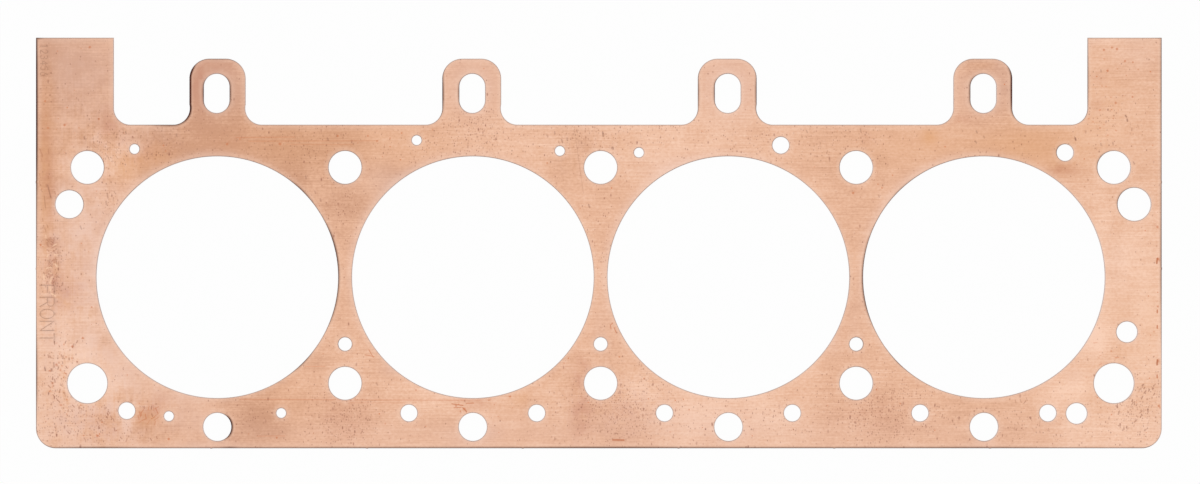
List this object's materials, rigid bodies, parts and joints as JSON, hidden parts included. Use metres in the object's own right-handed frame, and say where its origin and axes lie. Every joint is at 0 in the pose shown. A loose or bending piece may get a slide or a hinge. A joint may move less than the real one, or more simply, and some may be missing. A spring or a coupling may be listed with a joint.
{
  "type": "cylinder head gasket",
  "caption": "Flat copper head gasket for one bank of a V8: a row of round bores, stud and coolant holes, slotted tabs on the valley side and an ear at each end.",
  "frame": {"origin": "middle of the row of cylinder bores, on the face that lies on the engine block", "axes": "+X along the row of bores, from the end stamped with the word for the engine's front to the other; +Y towards the lifter valley, where the tabs and ears are; +Z from the block towards the cylinder head"},
  "size_m": [0.5373, 0.1961, 0.0013],
  "materials": {
    "copper": "satin"
  },
  "bodies": {
    "root": {"gasket": "copper"}
  },
  "joints": []
}
